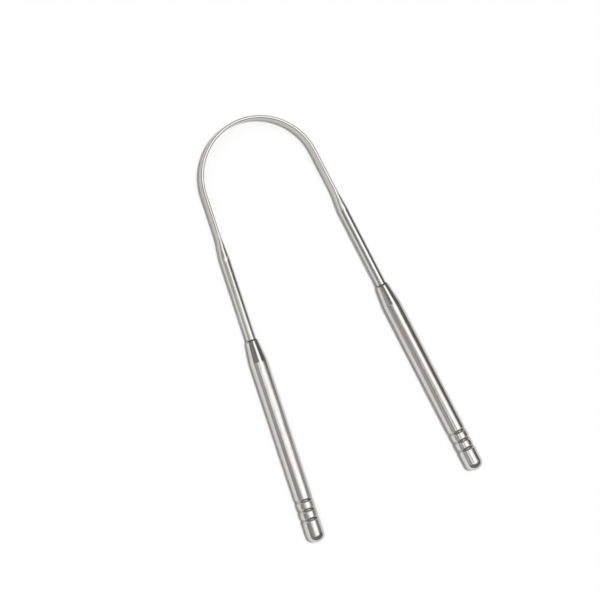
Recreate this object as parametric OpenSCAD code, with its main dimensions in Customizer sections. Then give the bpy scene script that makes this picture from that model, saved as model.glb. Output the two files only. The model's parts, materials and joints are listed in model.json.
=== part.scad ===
// Tongue scraper: a springy steel bow whose arch is flattened into a scraping band, with a
// tube handle crimped onto each leg and closed by a domed end plug.
// Lengths are in millimetres and angles in degrees. The scraper lies flat: X runs across the
// bow, Y from the handle tips towards the arch, and Z up. The origin is on the table, under
// the middle of the whole object.

/* [Bow] */
// Radius of the arch, to the middle of the band's thickness
arch_r = 22.2; // [16:0.1:32]
// Angle at which each leg spreads away from the middle line
leg_spread = 4.7; // [0:0.1:12]
// Height of the band, which stands on its edge
band_h = 5.4; // [3.4:0.1:6]
// Thickness of the band
band_t = 1.25; // [0.8:0.05:2]
// Rounding of the band's long edges
band_edge_r = 0.5; // [0.1:0.05:0.8]
// Length of the straight band below the arch, on each leg
straight_len = 14.5; // [5:0.5:30]
// Length over which the band grows into the round rod
taper_len = 10.5; // [5:0.5:20]
// Diameter of the rod
rod_d = 3.5; // [2.4:0.1:4]
// Length of rod that shows between the band and the handle
rod_len = 29.8; // [10:0.1:60]
// Length of rod inside the handle
rod_inside_len = 16; // [10:0.5:30]
// Bevel on the hidden end of the rod
rod_bevel = 0.4; // [0.1:0.1:1]

/* [Flex lines] */
// Height of each flex line on the arch, as an angle above the arch's centre
flex_angle = 30; // [15:1:60]
// Width of the slit at each flex line, which clears the band's corners as a leg bends
flex_gap = 0.2; // [0.2:0.02:0.4]

/* [Handles] */
// Length of each handle, from its neck to its tip
handle_len = 76; // [50:1:110]
// Diameter of each handle
handle_d = 6.4; // [5.2:0.1:9]
// Wall of the handle tube
tube_wall = 0.6; // [0.4:0.05:0.9]
// Wall of the tube's end face at the neck
neck_wall = 0.5; // [0.3:0.05:0.9]
// Rounding of the neck's outer edge
neck_edge_r = 0.25; // [0.05:0.05:0.3]
// Length of the swaged shoulder, from the neck to the full diameter
shoulder_len = 7.9; // [6:0.1:16]
// Length of the neck's bore that grips the rod
neck_grip_len = 5; // [3:0.5:5.5]

/* [Crimp rings] */
// Number of rolled rings that hold the end plug
ring_count = 3; // [1:1:5]
// Distance from the handle's tip to the middle of its first ring
first_ring = 8.7; // [5:0.1:12]
// Distance from ring to ring
ring_pitch = 3.5; // [2:0.05:6]
// Width of a ring at the handle's surface
ring_w = 1.4; // [0.8:0.1:1.9]
// Depth of a ring
ring_depth = 0.3; // [0.15:0.05:0.5]

/* [End plugs] */
// Rounding of the domed tip
tip_round_r = 2.7; // [0.5:0.1:3]
// Length of the plug's spigot past the last ring
spigot_tail = 3; // [1.5:0.5:10]
// Bevel on the spigot's hidden end
spigot_bevel = 0.4; // [0.1:0.1:0.8]

/* [Fits] */
// Gap all round between the rod and the neck's bore
rod_fit = 0.02; // [0.01:0.01:0.05]
// Gap all round between the spigot and the tube's bore
plug_fit = 0.02; // [0.01:0.01:0.05]

/* [Hidden] */

// Facets of true circles, of the round end of a hull, and of one rounded corner
circle_facets = 96;
hull_facets = 32;
edge_steps = 6;
tip_steps = 12;
// Largest share of the band's thickness that one edge's rounding may take
edge_share = 0.48;
// Thin slice that starts and ends a loft, and by which its neighbours reach into it
slice = 0.01;
// Overrun of a cut past the face that it opens
overrun = 1;

edge_r = min(band_edge_r, band_t * edge_share);
handle_r = handle_d / 2;
rod_r = rod_d / 2;
neck_r = rod_r + neck_wall;
grip_r = rod_r + rod_fit;
bore_r = handle_r - tube_wall;
spigot_r = bore_r - plug_fit;
tip_r = min(tip_round_r, handle_r);

// Heights along a handle, from its neck to its tip
seam_at = handle_len - first_ring;
last_ring_at = seam_at - (ring_count - 1) * ring_pitch;
spigot_end_at = last_ring_at - spigot_tail;

// A ring's hollow is an arc: its radius, and the distance of its centre from the handle's axis
ring_arc_r = (ring_w * ring_w / 4 + ring_depth * ring_depth) / (2 * ring_depth);
ring_centre_r = handle_r - ring_depth + ring_arc_r;

// Lengths along a leg, from the arch's end
neck_at = straight_len + taper_len + rod_len;
leg_len = neck_at + handle_len;

// Half of the slit at a flex line, as an angle at the arch's centre
half_gap_angle = flex_gap / 2 / arch_r * 180 / PI;

// Places that put the object's middle over the origin and its lowest side on the table
tip_reach = (leg_len - tip_r) * cos(leg_spread) + (handle_r - tip_r) * sin(leg_spread) + tip_r;
arch_top = arch_r + band_t / 2;
arch_y = (tip_reach - arch_r * sin(leg_spread) - arch_top) / 2;
axis_z = max(handle_d, band_h, rod_d) / 2;

// Points of an arc round a centre
function arc(centre, r, from, to, steps) =
    [for (i = [0:steps]) let (a = from + (to - from) * i / steps) centre + r * [cos(a), sin(a)]];

// Section of the band, its thickness along x and its height along y
module band_section() {
    x = band_t / 2 - edge_r;
    y = band_h / 2 - edge_r;
    polygon(concat(
        arc([x, y], edge_r, 0, 90, edge_steps),
        arc([-x, y], edge_r, 90, 180, edge_steps),
        arc([-x, -y], edge_r, 180, 270, edge_steps),
        arc([x, -y], edge_r, 270, 360, edge_steps)
    ));
}

// Frame at the arch's centre, turned so that an angle above the centre lies along x
module on_arch(angle) {
    translate([0, arch_y, axis_z]) rotate([0, 0, angle]) children();
}

// Stretch of the arch that starts on the x axis of its frame
module arch_band(sweep) {
    rotate_extrude(angle = sweep, $fn = circle_facets)
        translate([arch_r, 0]) band_section();
}

// Frame of a straight leg, within its arch frame: z runs down the leg from the end of the arch,
// and x away from the middle
module down_leg() {
    translate([arch_r, 0, 0]) rotate([90, 0, 0]) children();
}

// Frame of the right handle: z runs from its neck to its tip
module on_handle() {
    on_arch(leg_spread) down_leg() translate([0, 0, neck_at]) children();
}

module left() {
    mirror([1, 0, 0]) children();
}

module bow_crown() {
    from = flex_angle + half_gap_angle;
    color("silver") on_arch(from) arch_band(180 - 2 * from);
}

module flattening() {
    hull() {
        linear_extrude(slice) band_section();
        translate([0, 0, taper_len - slice]) cylinder(r = rod_r, h = slice, $fn = hull_facets);
    }
}

module rod() {
    plain_len = slice + rod_len + rod_inside_len - rod_bevel;
    cylinder(r = rod_r, h = plain_len, $fn = circle_facets);
    translate([0, 0, plain_len])
        cylinder(r1 = rod_r, r2 = rod_r - rod_bevel, h = rod_bevel, $fn = circle_facets);
}

module bow_leg() {
    color("silver") on_arch(leg_spread) {
        arch_band(flex_angle - half_gap_angle - leg_spread);
        down_leg() {
            linear_extrude(straight_len + slice) band_section();
            translate([0, 0, straight_len]) flattening();
            translate([0, 0, straight_len + taper_len - slice]) rod();
        }
    }
}

// Circles that roll the rings into a surface, with their centres at a distance from the axis
module ring_circles(centre_r, r) {
    for (i = [0:ring_count - 1])
        translate([centre_r, seam_at - i * ring_pitch]) circle(r = r, $fn = circle_facets);
}

module tube_outline() {
    polygon(concat(
        [[0, 0]],
        arc([neck_r - neck_edge_r, neck_edge_r], neck_edge_r, -90, 0, edge_steps),
        [[handle_r, shoulder_len], [handle_r, seam_at], [0, seam_at]]
    ));
}

module tube_bore() {
    polygon([
        [0, -overrun],
        [grip_r, -overrun],
        [grip_r, neck_grip_len],
        [bore_r, shoulder_len],
        [bore_r, seam_at + overrun],
        [0, seam_at + overrun]
    ]);
}

// The swaged tube, whose wall is pushed in at each ring and rolled over the plug at its mouth
module handle_tube() {
    color("lightgray") on_handle() rotate_extrude($fn = circle_facets)
        difference() {
            tube_outline();
            ring_circles(ring_centre_r, ring_arc_r);
            difference() {
                tube_bore();
                ring_circles(ring_centre_r - tube_wall, ring_arc_r);
            }
        }
}

module plug_head() {
    difference() {
        polygon(concat(
            [[0, seam_at], [handle_r, seam_at]],
            arc([handle_r - tip_r, handle_len - tip_r], tip_r, 0, 90, tip_steps),
            [[0, handle_len]]
        ));
        ring_circles(ring_centre_r, ring_arc_r);
    }
}

module plug_spigot() {
    difference() {
        polygon([
            [0, spigot_end_at],
            [spigot_r - spigot_bevel, spigot_end_at],
            [spigot_r, spigot_end_at + spigot_bevel],
            [spigot_r, seam_at],
            [0, seam_at]
        ]);
        ring_circles(ring_centre_r - tube_wall, ring_arc_r + plug_fit);
    }
}

module end_plug() {
    color("gainsboro") on_handle() rotate_extrude($fn = circle_facets) {
        plug_head();
        plug_spigot();
    }
}

bow_crown();
left() bow_leg();  // left_bow_leg
bow_leg();  // right_bow_leg
left() handle_tube();  // left_handle_tube
handle_tube();  // right_handle_tube
left() end_plug();  // left_end_plug
end_plug();  // right_end_plug
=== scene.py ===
"""A polished steel tongue scraper, lying on a white table under a soft studio light.

Every length is in metres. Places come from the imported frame, and sizes from the named values
below, which are the real sizes of the object in millimetres times MM.
"""

import json
import math

import bmesh
import bpy
from mathutils import Matrix, Vector


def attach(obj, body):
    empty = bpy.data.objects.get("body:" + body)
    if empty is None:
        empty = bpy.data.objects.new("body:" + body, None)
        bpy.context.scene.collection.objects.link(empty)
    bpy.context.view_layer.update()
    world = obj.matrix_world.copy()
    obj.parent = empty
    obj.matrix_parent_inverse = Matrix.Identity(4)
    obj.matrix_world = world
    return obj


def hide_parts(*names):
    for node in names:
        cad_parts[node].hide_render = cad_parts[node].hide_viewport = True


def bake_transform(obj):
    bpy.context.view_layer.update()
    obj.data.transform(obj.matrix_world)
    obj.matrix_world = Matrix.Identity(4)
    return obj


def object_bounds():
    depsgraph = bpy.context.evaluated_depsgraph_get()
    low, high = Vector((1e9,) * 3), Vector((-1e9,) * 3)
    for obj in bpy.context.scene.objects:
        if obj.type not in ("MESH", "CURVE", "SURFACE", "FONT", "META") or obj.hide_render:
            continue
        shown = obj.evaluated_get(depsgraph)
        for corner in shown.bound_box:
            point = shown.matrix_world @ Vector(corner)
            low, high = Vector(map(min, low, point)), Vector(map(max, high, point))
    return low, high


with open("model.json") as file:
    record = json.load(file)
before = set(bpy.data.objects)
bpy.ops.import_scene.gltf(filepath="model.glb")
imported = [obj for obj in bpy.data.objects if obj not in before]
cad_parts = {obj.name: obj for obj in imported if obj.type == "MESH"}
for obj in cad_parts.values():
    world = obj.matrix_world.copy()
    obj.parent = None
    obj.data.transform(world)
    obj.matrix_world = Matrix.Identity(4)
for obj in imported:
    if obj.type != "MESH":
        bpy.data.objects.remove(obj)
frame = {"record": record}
CAD_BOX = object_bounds()

MM = 0.001

# Bow
ARCH_R = 22.2 * MM
BAND_H = 5.4 * MM
BAND_T = 1.25 * MM
BAND_EDGE_R = 0.5 * MM
STRAIGHT_LEN = 14.5 * MM
TAPER_LEN = 10.5 * MM
ROD_R = 1.75 * MM
ROD_LEN = 29.8 * MM
ROD_INSIDE_LEN = 16.0 * MM
ROD_BEVEL = 0.4 * MM

# Handles
HANDLE_LEN = 76.0 * MM
HANDLE_R = 3.2 * MM
TUBE_WALL = 0.6 * MM
NECK_R = 2.25 * MM
NECK_EDGE_R = 0.25 * MM
NECK_GRIP_LEN = 5.0 * MM
SHOULDER_LEN = 7.9 * MM
SHOULDER_BLEND = 0.25 * MM
ROD_FIT = 0.02 * MM

# Rolled rings and end plugs
RING_COUNT = 3
FIRST_RING = 8.7 * MM
RING_PITCH = 3.5 * MM
RING_W = 1.4 * MM
RING_DEPTH = 0.3 * MM
RING_LIP_R = 0.12 * MM
MOUTH_EDGE_R = 0.04 * MM
TIP_ROUND_R = 2.7 * MM
SPIGOT_TAIL = 3.0 * MM
SPIGOT_BEVEL = 0.4 * MM
PLUG_FIT = 0.02 * MM
DOME_INSET = 0.004 * MM

# Painted shade where the rod enters the neck: its strength (which also adds roughness), the length of
# rod over which it fades, and how far from the neck it ends, as a share of that length
NECK_PAINTED_SHADE = 2.4
NECK_SHADE_LEN = 0.5 * MM
NECK_SHADE_REACH_SHARE = 1.3

# Steps of the meshes
LATHE_STEPS = 144
SECTION_STEPS = 96
SIDE_STEPS = SECTION_STEPS // 16
TOP_STEPS = SECTION_STEPS // 48
RING_STEPS = 24
HIDDEN_RING_STEPS = 8
NECK_EDGE_STEPS = 8
SHOULDER_STEPS = 12
MOUTH_STEPS = 4
DOME_STEPS = 28
ARC_STEP = math.radians(0.5)
STRAIGHT_STEP = 0.5 * MM
TAPER_STEP = 0.25 * MM
NECK_STEP = NECK_SHADE_LEN / 4
ROD_STEP = 1.5 * MM

# Faces that meet at a smaller angle than this are shaded as one
SMOOTH_BELOW = math.radians(32)

# Places taken from the frame
LOW, HIGH = Vector(CAD_BOX[0]), Vector(CAD_BOX[1])
AXIS_Z = (LOW.z + HIGH.z) / 2
ARCH_Y = HIGH.y - ARCH_R - BAND_T / 2
GRIPS = {m["name"]: m for m in frame["record"]["mounts"]}
LEG_AXIS = Vector(GRIPS["right_grip"]["axis"])
LEG_SPREAD = math.atan2(LEG_AXIS.x, -LEG_AXIS.y)

# Lengths along the bow, from the top of the arch
ARCH_END = ARCH_R * (math.pi / 2 - LEG_SPREAD)
BAND_END = ARCH_END + STRAIGHT_LEN
TAPER_END = BAND_END + TAPER_LEN
NECK_AT = TAPER_END + ROD_LEN
ROD_END = NECK_AT + ROD_INSIDE_LEN

# Heights along a handle, from its neck to its tip
SEAM_AT = HANDLE_LEN - FIRST_RING
LAST_RING_AT = SEAM_AT - (RING_COUNT - 1) * RING_PITCH
SPIGOT_END_AT = LAST_RING_AT - SPIGOT_TAIL
BORE_R = HANDLE_R - TUBE_WALL
SPIGOT_R = BORE_R - PLUG_FIT
MOUTH_R = HANDLE_R - RING_DEPTH

# A ring's hollow is an arc of this radius, whose centre lies this far from the handle's axis
RING_ARC_R = (RING_W * RING_W / 4 + RING_DEPTH * RING_DEPTH) / (2 * RING_DEPTH)
RING_CENTRE_R = HANDLE_R - RING_DEPTH + RING_ARC_R

SIDES = {"left": -1, "right": 1}

# Each steel's colour and roughness, and how fine its drawn lines are across and along it
STEELS = {
    "bow_steel": ((0.66, 0.65, 0.63), 0.11, 7000.0, 60.0),
    "handle_steel": ((0.66, 0.645, 0.63), 0.12, 6000.0, 40.0),
    "plug_steel": ((0.66, 0.65, 0.635), 0.11, 900.0, 5000.0),
}

# Noises of the steel: how fine each is (the spots to a metre: across, across and along the
# piece) and its detail, and the part of a noise's range that is used
SMUDGES = ((420.0, 420.0, 130.0), 4.0)
CLOUDS = ((160.0, 160.0, 40.0), 2.0)
LINE_DETAIL = 3.0
NOISE_SPAN = (0.3, 0.7)

# Two layers of fine scratches: how fine each is, its turn against the drawn lines in radians,
# and the heights of the noise at which a scratch starts and is full
SCRATCH_DETAIL = 1.0
SCRATCH_LAYERS = (
    ((5200.0, 5200.0, 230.0), 0.05, (0.60, 0.68)),
    ((4400.0, 4400.0, 310.0), -0.09, (0.61, 0.69)),
)

# Shares of the steel's colour that are left in its clouds and in painted shade, how much painted
# shade a hollow takes, and the tint of the steel's reflections at a grazing angle
CLOUD_SHARES = (0.93, 0.915, 0.9)
PAINTED_SHADE_SHARE = 0.1
HOLLOW_PAINTED_SHADE = 0.38
EDGE_TINT = (0.7, 0.7, 0.7, 1.0)

# Roughness: its shares where smudges are clearest and thickest, and what the lines, hollows
# and scratches add
SMUDGE_SHARES = (0.7, 1.3)
LINE_ROUGHNESS = 0.02
HOLLOW_ROUGHNESS = 0.12
SCRATCH_ROUGHNESS = 0.08

# Relief of the lines, and the depth of the scratches as a share of it
RELIEF_STRENGTH = 0.6
RELIEF_DEPTH = 0.005 * MM
SCRATCH_DEPTH_SHARE = 0.4

# Camera: its turns, its lens in millimetres, the width that it sees and the point it looks at
ROLL = math.radians(22.79)
TILT = math.radians(15.0)
PITCH = math.radians(-0.8)
LENS = 132.6
VIEW_W = 217.2 * MM
AIM = Vector((-4.25 * MM, 6.84 * MM, AXIS_Z))

# Key light and table
KEY_SLANT = math.radians(4.0)
KEY_SIZE = math.radians(6.0)
KEY_POWER = 1.84
FLOOR_HALF = 4.0
FLOOR_COLOUR = (0.98, 0.98, 0.98)
FLOOR_ROUGHNESS = 0.9

# The grey room, as levels of light by the direction towards it. The levels left and right of
# ROOM_SPLIT fade out towards both ends of the table. Added to them are one level before
# ROOM_FAR_AT and another past it, which is past the arch, and a last one past the tips. Each
# pair is the place of a change (an angle from the vertical, or the y part of the direction)
# and half of the width over which it is soft.
ROOM_LEFT = 0.15
ROOM_RIGHT = 0.06
ROOM_SPLIT = (math.radians(15), math.radians(12))
ROOM_FADE = (0.55, 0.25)
ROOM_NEAR = 0.09
ROOM_FAR = 0.32
ROOM_FAR_AT = (0.4, 0.1)
ROOM_PAST_TIPS = 0.11
ROOM_PAST_TIPS_AT = (-0.55, 0.12)

# Softboxes over the table: the span of each from left to right (an angle from the vertical, in
# degrees), its span along the handles (the y part of the direction towards it, in a frame that
# is skewed by PANEL_SKEW for each radian from the vertical), and its power. PANEL_EDGE is half
# of the width of their soft edges.
PANEL_EDGE = 0.02
PANEL_SKEW = 0.082
PANELS = (
    ((-4, 27), (-0.28, 0.32), 1.4),
    ((-36, -4), (-0.068, 0.0), 1.35),
    ((27, 44), (-0.068, 0.0), 1.4),
    ((-19, -4), (-0.12, -0.068), 1.2),
    ((27, 37), (-0.12, -0.068), 1.2),
    ((-36, -4), (-0.32, -0.185), 1.1),
    ((-80, -4), (0.0, 0.035), 0.45),
    ((44, 95), (-0.068, -0.005), 0.4),
    ((-100, -36), (-0.068, 0.0), 0.25),
    ((-100, -19), (-0.12, -0.068), 0.15),
    ((-45, -4), (-0.185, -0.14), 0.3),
    ((-100, -45), (-0.34, -0.21), 0.28),
)


def clamp(t):
    return min(1, max(0, t))


def ease(t):
    return t * t * (3 - 2 * t)


def spaced(start, stop, step):
    """Even steps from start up to, and without, stop."""
    count = max(1, math.ceil((stop - start) / step))
    return [start + (stop - start) * i / count for i in range(count)]


def arc_points(centre, radius, start, stop, steps):
    """Points of an arc, as (across, along) pairs; the angles are in radians."""
    found = []
    for i in range(steps + 1):
        a = start + (stop - start) * i / steps
        found.append((centre[0] + radius * math.cos(a), centre[1] + radius * math.sin(a)))
    return found


def bow_frame(side, s):
    """Centre, outward direction and tangent of the bow at a length from the top of its arch."""
    angle = min(s, ARCH_END) / ARCH_R
    outward = Vector((side * math.sin(angle), math.cos(angle), 0))
    tangent = Vector((side * math.cos(angle), -math.sin(angle), 0))
    centre = Vector((0, ARCH_Y, AXIS_Z)) + outward * ARCH_R
    return centre + tangent * max(0, s - ARCH_END), outward, tangent


def make_object(name, bm, grain, hollow):
    """A smooth closed mesh, with each point's place along the drawn steel and the strength of its painted
    shade, from its depth in a hollow, a seam or the neck.
    """
    bmesh.ops.recalc_face_normals(bm, faces=bm.faces)
    for edge in bm.edges:
        edge.smooth = edge.calc_face_angle(0) < SMOOTH_BELOW
    for face in bm.faces:
        face.smooth = True
    mesh = bpy.data.meshes.new(name)
    bm.to_mesh(mesh)
    bm.free()
    flat = [value for point in grain for value in point]
    mesh.attributes.new("grain", "FLOAT_VECTOR", "POINT").data.foreach_set("vector", flat)
    mesh.attributes.new("hollow", "FLOAT", "POINT").data.foreach_set("value", hollow)
    obj = bpy.data.objects.new(name, mesh)
    bpy.context.scene.collection.objects.link(obj)
    return obj


def band_points():
    """The band's section, with as many points on each edge's rounding as its share of a circle."""
    x, y = BAND_T / 2 - BAND_EDGE_R, BAND_H / 2 - BAND_EDGE_R
    rounding = SECTION_STEPS // 4 - SIDE_STEPS - TOP_STEPS
    first = [(BAND_T / 2, y * i / SIDE_STEPS) for i in range(SIDE_STEPS)]
    first += arc_points((x, y), BAND_EDGE_R, 0, math.pi / 2, rounding)
    first += [(x * (1 - i / TOP_STEPS), BAND_H / 2) for i in range(1, TOP_STEPS + 1)]
    second = [(-px, py) for px, py in reversed(first[1:-1])]
    upper = first + second
    return upper + [(-px, -py) for px, py in upper]


def bow_section(s, band, rod):
    """The bow's section at a length from the top of the arch: band, then flattening, then rod."""
    share = ease(clamp((s - BAND_END) / TAPER_LEN))
    width = 1 - max(0, s - (ROD_END - ROD_BEVEL)) / ROD_R
    return [
        ((bx + (rx - bx) * share) * width, (by + (ry - by) * share) * width)
        for (bx, by), (rx, ry) in zip(band, rod)
    ]


def bow_stations():
    """Lengths along the bow at which its section is drawn."""
    # Finer stations where painted shade darkens the rod by the neck
    shade_from, shade_to = NECK_AT - 2 * NECK_SHADE_LEN, NECK_AT + NECK_SHADE_LEN
    found = spaced(0, ARCH_END, ARC_STEP * ARCH_R)
    found += spaced(ARCH_END, BAND_END, STRAIGHT_STEP)
    found += spaced(BAND_END, TAPER_END, TAPER_STEP)
    found += spaced(TAPER_END, shade_from, ROD_STEP)
    found += spaced(shade_from, shade_to, NECK_STEP)
    found += spaced(shade_to, ROD_END - ROD_BEVEL, ROD_STEP)
    return found + [ROD_END - ROD_BEVEL, ROD_END]


def bow_half(name, side):
    """Half of the bow, from the top of the arch to the rod's end inside the handle."""
    band = band_points()
    rod = arc_points((0, 0), ROD_R, 0, 2 * math.pi, SECTION_STEPS)[:-1]
    bm = bmesh.new()
    rings, grain, hollow = [], [], []
    for s in bow_stations():
        centre, outward, _ = bow_frame(side, s)
        # Painted shade that darkens the rod as it nears the neck
        painted_shade = NECK_PAINTED_SHADE * ease(clamp(NECK_SHADE_REACH_SHARE - (NECK_AT - s) / NECK_SHADE_LEN))
        ring = []
        for x, y in bow_section(s, band, rod):
            ring.append(bm.verts.new(centre + outward * x + Vector((0, 0, y))))
            grain.append((x, y, s))
            hollow.append(painted_shade)
        rings.append(ring)
    for a, b in zip(rings, rings[1:]):
        for i in range(SECTION_STEPS):
            j = (i + 1) % SECTION_STEPS
            bm.faces.new((a[i], a[j], b[j], b[i]))
    bm.faces.new(rings[0])
    bm.faces.new(rings[-1])
    return make_object(name, bm, grain, hollow)


def lathe(name, side, profile, closed):
    """Turns a profile of (radius, height, strength of painted shade) round the handle's axis."""
    origin, outward, tangent = bow_frame(side, NECK_AT)
    up = Vector((0, 0, 1))
    bm = bmesh.new()
    rings, grain, hollow = [], [], []
    for r, h, depth in profile:
        ring = []
        for i in range(1 if r == 0 else LATHE_STEPS):
            a = 2 * math.pi * i / LATHE_STEPS
            x, y = r * math.cos(a), r * math.sin(a)
            ring.append(bm.verts.new(origin + outward * x + up * y + tangent * h))
            grain.append((x, y, NECK_AT + h))
            hollow.append(depth)
        rings.append(ring)
    pairs = list(zip(rings, rings[1:]))
    if closed:
        pairs.append((rings[-1], rings[0]))
    for a, b in pairs:
        for i in range(LATHE_STEPS):
            j = (i + 1) % LATHE_STEPS
            corners = [a[i % len(a)], a[j % len(a)], b[j % len(b)], b[i % len(b)]]
            bm.faces.new(list(dict.fromkeys(corners)))
    return make_object(name, bm, grain, hollow)


def ring_hollow(middle, start_share=-1, stop_share=1):
    """The arc of one rolled ring with softened lips, between two shares of its half width."""
    half = RING_W / 2 + RING_LIP_R / 2
    found = []
    for i in range(round((start_share + 1) * RING_STEPS), round((stop_share + 1) * RING_STEPS) + 1):
        offset = half * (i / RING_STEPS - 1)
        arc = RING_CENTRE_R - math.sqrt(RING_ARC_R ** 2 - min(abs(offset), RING_W / 2) ** 2)
        lip = 1 - clamp((half - abs(offset)) / RING_LIP_R)
        r = arc + (HANDLE_R - arc) * ease(lip)
        # The third value is the share of the ring's depth, which darkens the steel as painted shade
        found.append((r, middle + offset, (HANDLE_R - r) / RING_DEPTH))
    return found


def inner_ring(middle, radius, start, stop):
    """The arc that a rolled ring leaves inside the tube's wall, at a radius round its centre."""
    centre = (RING_CENTRE_R - TUBE_WALL, middle)
    return [(r, h, 0) for r, h in arc_points(centre, radius, start, stop, HIDDEN_RING_STEPS)]


def spigot_ring(middle):
    """The matching arc of one ring on the plug's spigot."""
    radius = RING_ARC_R + PLUG_FIT
    half = math.acos((RING_CENTRE_R - TUBE_WALL - SPIGOT_R) / radius)
    return inner_ring(middle, radius, math.pi + half, math.pi - half)


def bore_ring(middle, whole=True):
    """The ridge that one ring pushes into the tube's bore, or the half of it nearer the neck."""
    half = math.acos((RING_CENTRE_R - TUBE_WALL - BORE_R) / RING_ARC_R)
    start = math.pi - half if whole else math.pi
    return inner_ring(middle, RING_ARC_R, start, math.pi + half)


def mouth_edge(at, start, stop):
    """The softened edge of the tube's mouth, or of the plug that meets it."""
    centre = (MOUTH_R - MOUTH_EDGE_R, at)
    # Painted shade fully darkens the seam between the tube and the plug
    return [(r, h, 1) for r, h in arc_points(centre, MOUTH_EDGE_R, start, stop, MOUTH_STEPS)]


def shoulder_points():
    """The neck's rounded edge and the cone that grows to the handle's full radius."""
    corner = (NECK_R - NECK_EDGE_R, NECK_EDGE_R)
    edge = arc_points(corner, NECK_EDGE_R, -math.pi / 2, 0, NECK_EDGE_STEPS)
    # The neck's rounded edge is darkened with painted shade, most where the rod enters
    found = [(r, h, NECK_PAINTED_SHADE * ease(1 - h / NECK_EDGE_R)) for r, h in edge]
    slope = (HANDLE_R - NECK_R) / SHOULDER_LEN
    start = SHOULDER_LEN - SHOULDER_BLEND
    found += [(NECK_R + slope * h, h, 0) for h in spaced(STRAIGHT_STEP * 2, start, STRAIGHT_STEP)]
    for i in range(SHOULDER_STEPS + 1):
        t = i / SHOULDER_STEPS
        r = HANDLE_R - slope * SHOULDER_BLEND * (1 - t) ** 2
        found.append((r, start + 2 * SHOULDER_BLEND * t, 0))
    return found


def tube_profile():
    """The swaged tube's outside from its neck to its mouth, then its bore back to the neck."""
    found = shoulder_points()
    rings = [SEAM_AT - i * RING_PITCH for i in reversed(range(RING_COUNT))]
    hollows = [ring_hollow(middle) for middle in rings[:-1]]
    hollows.append(ring_hollow(rings[-1], -1, 0)[:-1])
    for hollow in hollows:
        found += [(HANDLE_R, h, 0) for h in spaced(found[-1][1], hollow[0][1], ROD_STEP)[1:]]
        found += hollow
    found += mouth_edge(SEAM_AT - MOUTH_EDGE_R, 0, math.pi / 2)
    found += [(r, h, 1) for r, h, _ in bore_ring(SEAM_AT, whole=False)]
    for middle in reversed(rings[:-1]):
        found += bore_ring(middle)
    grip_r = ROD_R + ROD_FIT
    # The bore's last point, at the neck's end, carries the neck's painted shade
    return found + [(BORE_R, SHOULDER_LEN, 0), (grip_r, NECK_GRIP_LEN, 0), (grip_r, 0, NECK_PAINTED_SHADE)]


def plug_profile():
    """The end plug, from its hidden end to its domed tip."""
    found = [(0, SPIGOT_END_AT, 0), (SPIGOT_R - SPIGOT_BEVEL, SPIGOT_END_AT, 0)]
    found += [(SPIGOT_R, SPIGOT_END_AT + SPIGOT_BEVEL, 0)]
    for i in reversed(range(1, RING_COUNT)):
        found += spigot_ring(SEAM_AT - i * RING_PITCH)
    found += [point for point in spigot_ring(SEAM_AT) if point[1] < SEAM_AT]
    found += mouth_edge(SEAM_AT + MOUTH_EDGE_R, -math.pi / 2, 0)
    found += ring_hollow(SEAM_AT, 0, 1)[1:]
    head_r, end = HANDLE_R - DOME_INSET, HANDLE_LEN - DOME_INSET
    centre = (head_r - TIP_ROUND_R, end - TIP_ROUND_R)
    found += [(head_r, h, 0) for h in spaced(found[-1][1], centre[1], STRAIGHT_STEP)[1:]]
    found += [(r, h, 0) for r, h in arc_points(centre, TIP_ROUND_R, 0, math.pi / 2, DOME_STEPS)]
    return found + [(centre[0] / 2, end, 0), (0, end, 0)]


def math_node(tree, kind, a, b=0.0):
    """A Math node, whose two inputs are numbers or the outputs of other nodes."""
    node = tree.nodes.new("ShaderNodeMath")
    node.operation = kind
    for socket, value in zip(node.inputs, (a, b)):
        if isinstance(value, (int, float)):
            socket.default_value = value
        else:
            tree.links.new(value, socket)
    return node.outputs["Value"]


def mapped(tree, value, start, stop, low, high, kind="LINEAR"):
    """Takes a value's range from start to stop to one from low to high, and holds its ends."""
    node = tree.nodes.new("ShaderNodeMapRange")
    node.interpolation_type = kind
    node.inputs["From Min"].default_value = start
    node.inputs["From Max"].default_value = stop
    node.inputs["To Min"].default_value = low
    node.inputs["To Max"].default_value = high
    tree.links.new(value, node.inputs["Value"])
    return node.outputs["Result"]


def attribute(tree, name, output):
    """One of the values that make_object stores at each point of a mesh."""
    node = tree.nodes.new("ShaderNodeAttribute")
    node.attribute_name = name
    return node.outputs[output]


def grain_noise(tree, scale, detail, turn=0.0):
    """Noise that follows the metal, turned against it where a turn is given."""
    mapping = tree.nodes.new("ShaderNodeMapping")
    mapping.vector_type = "TEXTURE" if turn else "POINT"
    mapping.inputs["Rotation"].default_value = (turn, turn, 0.0)
    mapping.inputs["Scale"].default_value = [1 / s for s in scale] if turn else scale
    tree.links.new(attribute(tree, "grain", "Vector"), mapping.inputs["Vector"])
    texture = tree.nodes.new("ShaderNodeTexNoise")
    texture.inputs["Scale"].default_value = 1.0
    texture.inputs["Detail"].default_value = detail
    tree.links.new(mapping.outputs["Vector"], texture.inputs["Vector"])
    return texture.outputs["Fac"]


def scratch_layers(tree):
    """The fine scratches of both layers, from 0 beside one to 1 in it."""
    layers = []
    for scale, turn, (start, stop) in SCRATCH_LAYERS:
        layers.append(mapped(tree, grain_noise(tree, scale, SCRATCH_DETAIL, turn), start, stop, 0.0, 1.0))
    return math_node(tree, "MAXIMUM", *layers)


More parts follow.
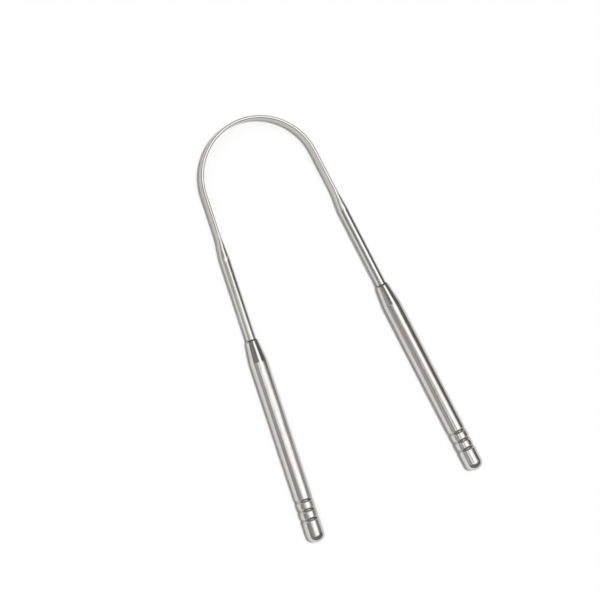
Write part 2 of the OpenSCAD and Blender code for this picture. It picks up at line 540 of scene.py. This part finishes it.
def steel_colour(tree, colour, hollow):
    """The steel's colour with its faint clouds, and painted shade in its hollows, at the seam and by the
    neck.
    """
    shade = tree.nodes.new("ShaderNodeMix")
    shade.data_type = "RGBA"
    shade.inputs["A"].default_value = (*[c * s for c, s in zip(colour, CLOUD_SHARES)], 1.0)
    shade.inputs["B"].default_value = (*colour, 1.0)
    clouds = mapped(tree, grain_noise(tree, *CLOUDS), *NOISE_SPAN, 0.0, 1.0)
    tree.links.new(clouds, shade.inputs["Factor"])
    # Painted shade: the colour darkens by a hollow's depth, at the seam and by the neck
    painted_shade = tree.nodes.new("ShaderNodeMix")
    painted_shade.data_type = "RGBA"
    painted_shade.inputs["B"].default_value = (*[c * PAINTED_SHADE_SHARE for c in colour], 1.0)
    tree.links.new(math_node(tree, "MULTIPLY", hollow, HOLLOW_PAINTED_SHADE), painted_shade.inputs["Factor"])
    tree.links.new(shade.outputs["Result"], painted_shade.inputs["A"])
    return painted_shade.outputs["Result"]


def steel_roughness(tree, roughness, lines, hollow, scratches):
    """The roughness of smudged steel, with its lines, hollows and scratches."""
    shares = [roughness * share for share in SMUDGE_SHARES]
    smudges = mapped(tree, grain_noise(tree, *SMUDGES), *NOISE_SPAN, *shares)
    drawn = mapped(tree, lines, *NOISE_SPAN, -LINE_ROUGHNESS, LINE_ROUGHNESS)
    total = math_node(tree, "ADD", smudges, drawn)
    total = math_node(tree, "ADD", total, math_node(tree, "MULTIPLY", hollow, HOLLOW_ROUGHNESS))
    return math_node(tree, "ADD", total, math_node(tree, "MULTIPLY", scratches, SCRATCH_ROUGHNESS))


def steel_relief(tree, lines, scratches):
    """The shallow relief of the drawn lines and scratches."""
    bump = tree.nodes.new("ShaderNodeBump")
    bump.inputs["Strength"].default_value = RELIEF_STRENGTH
    bump.inputs["Distance"].default_value = RELIEF_DEPTH
    depth = math_node(tree, "MULTIPLY", scratches, SCRATCH_DEPTH_SHARE)
    tree.links.new(math_node(tree, "SUBTRACT", lines, depth), bump.inputs["Height"])
    return bump.outputs["Normal"]


def steel(name, colour, roughness, lines_across, lines_along):
    """Polished stainless steel: drawn lines, fine scratches, smudges, and painted shade that darkens its
    hollows.
    """
    material = bpy.data.materials.new(name)
    material.use_nodes = True
    tree = material.node_tree
    shader = tree.nodes["Principled BSDF"]
    shader.inputs["Metallic"].default_value = 1.0
    shader.inputs["Specular Tint"].default_value = EDGE_TINT
    hollow = attribute(tree, "hollow", "Fac")
    lines = grain_noise(tree, (lines_across, lines_across, lines_along), LINE_DETAIL)
    scratches = scratch_layers(tree)
    rough = steel_roughness(tree, roughness, lines, hollow, scratches)
    tree.links.new(steel_colour(tree, colour, hollow), shader.inputs["Base Color"])
    tree.links.new(rough, shader.inputs["Roughness"])
    tree.links.new(steel_relief(tree, lines, scratches), shader.inputs["Normal"])
    return material


def add_camera():
    """A long lens that looks down from the left, turned as the photograph is."""
    data = bpy.data.cameras.new("camera")
    data.lens = LENS
    across = Vector((math.cos(TILT), 0, math.sin(TILT)))
    back = Vector((-math.sin(TILT), 0, math.cos(TILT))) * math.cos(PITCH) - Vector((0, math.sin(PITCH), 0))
    right = across * math.cos(ROLL) - back.cross(across) * math.sin(ROLL)
    up = back.cross(right)
    turn = Matrix((right, up, back)).transposed().to_4x4()
    obj = bpy.data.objects.new("camera", data)
    bpy.context.scene.collection.objects.link(obj)
    obj.matrix_world = Matrix.Translation(AIM + back * VIEW_W * LENS / data.sensor_width) @ turn
    bpy.context.scene.camera = obj


def add_floor():
    """A white table that the scraper lies on."""
    bm = bmesh.new()
    bmesh.ops.create_grid(bm, x_segments=1, y_segments=1, size=FLOOR_HALF)
    mesh = bpy.data.meshes.new("floor")
    bm.to_mesh(mesh)
    bm.free()
    floor = bpy.data.objects.new("floor", mesh)
    bpy.context.scene.collection.objects.link(floor)
    floor.location.z = LOW.z
    material = bpy.data.materials.new("white_table")
    material.use_nodes = True
    shader = material.node_tree.nodes["Principled BSDF"]
    shader.inputs["Base Color"].default_value = (*FLOOR_COLOUR, 1.0)
    shader.inputs["Roughness"].default_value = FLOOR_ROUGHNESS
    shader.inputs["Specular IOR Level"].default_value = 0.0
    mesh.materials.append(material)


def add_key():
    """A soft key light from just right of overhead, which the steel doesn't mirror."""
    sun = bpy.data.lights.new("key", "SUN")
    sun.energy = KEY_POWER
    sun.angle = KEY_SIZE
    key = bpy.data.objects.new("key", sun)
    key.rotation_euler = (0, KEY_SLANT, 0)
    key.visible_glossy = False
    bpy.context.scene.collection.objects.link(key)


def step(tree, value, edge, soft, low=0.0, high=1.0):
    """Low before the edge and high after it, with a soft change between."""
    return mapped(tree, value, edge - soft, edge + soft, low, high, "SMOOTHSTEP")


def span(tree, value, start, stop):
    """1 between start and stop, and 0 outside."""
    inside = step(tree, value, start, PANEL_EDGE)
    return math_node(tree, "MULTIPLY", inside, step(tree, value, stop, PANEL_EDGE, 1.0, 0.0))


def room_light(tree, across, y):
    """The grey room's level in a direction."""
    sides = step(tree, across, *ROOM_SPLIT, ROOM_LEFT, ROOM_RIGHT)
    fade = step(tree, math_node(tree, "ABSOLUTE", y), *ROOM_FADE, 1.0, 0.0)
    ends = step(tree, y, *ROOM_FAR_AT, ROOM_NEAR, ROOM_FAR)
    past_tips = step(tree, y, *ROOM_PAST_TIPS_AT, ROOM_PAST_TIPS, 0.0)
    ends = math_node(tree, "ADD", ends, past_tips)
    return math_node(tree, "ADD", math_node(tree, "MULTIPLY", sides, fade), ends)


def add_room():
    """A grey room with softboxes over the table."""
    world = bpy.data.worlds.new("studio")
    bpy.context.scene.world = world
    world.use_nodes = True
    tree = world.node_tree
    background = tree.nodes["Background"]
    background.inputs["Color"].default_value = (1.0, 1.0, 1.0, 1.0)
    axes = tree.nodes.new("ShaderNodeSeparateXYZ")
    tree.links.new(tree.nodes.new("ShaderNodeTexCoord").outputs["Generated"], axes.inputs["Vector"])
    x, y, z = (axes.outputs[axis] for axis in "XYZ")
    across = math_node(tree, "ARCTAN2", x, z)
    along = math_node(tree, "ADD", y, math_node(tree, "MULTIPLY", across, PANEL_SKEW))
    total = room_light(tree, across, y)
    for (left, right), (near, far), power in PANELS:
        shape = span(tree, across, math.radians(left), math.radians(right))
        shape = math_node(tree, "MULTIPLY", shape, span(tree, along, near, far))
        total = math_node(tree, "ADD", total, math_node(tree, "MULTIPLY", shape, power))
    tree.links.new(total, background.inputs["Strength"])


def place(obj, slot, *nodes):
    """Gives a piece the steel of its slot, and hides the CAD nodes that it stands for."""
    obj.data.materials.append(MATERIALS[slot])
    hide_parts(*nodes)


def add_leg(word, side):
    """One half of the bow with its handle; the left half also stands for the crown."""
    half = bow_half(f"{word}_bow", side)
    crown = ("bow_crown",) if word == "left" else ()
    place(half, "bow_steel", f"{word}_bow_leg", *crown)
    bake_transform(half)

    tube = lathe(f"{word}_tube", side, tube_profile(), closed=True)
    place(tube, "handle_steel", f"{word}_handle_tube")
    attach(tube, f"{word}_leg")

    plug = lathe(f"{word}_plug", side, plug_profile(), closed=False)
    place(plug, "plug_steel", f"{word}_end_plug")
    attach(plug, f"{word}_leg")


add_camera()
add_floor()
add_key()
add_room()
bpy.context.scene.view_settings.view_transform = "Standard"

MATERIALS = {name: steel(name, *look) for name, look in STEELS.items()}
for word, side in SIDES.items():
    add_leg(word, side)
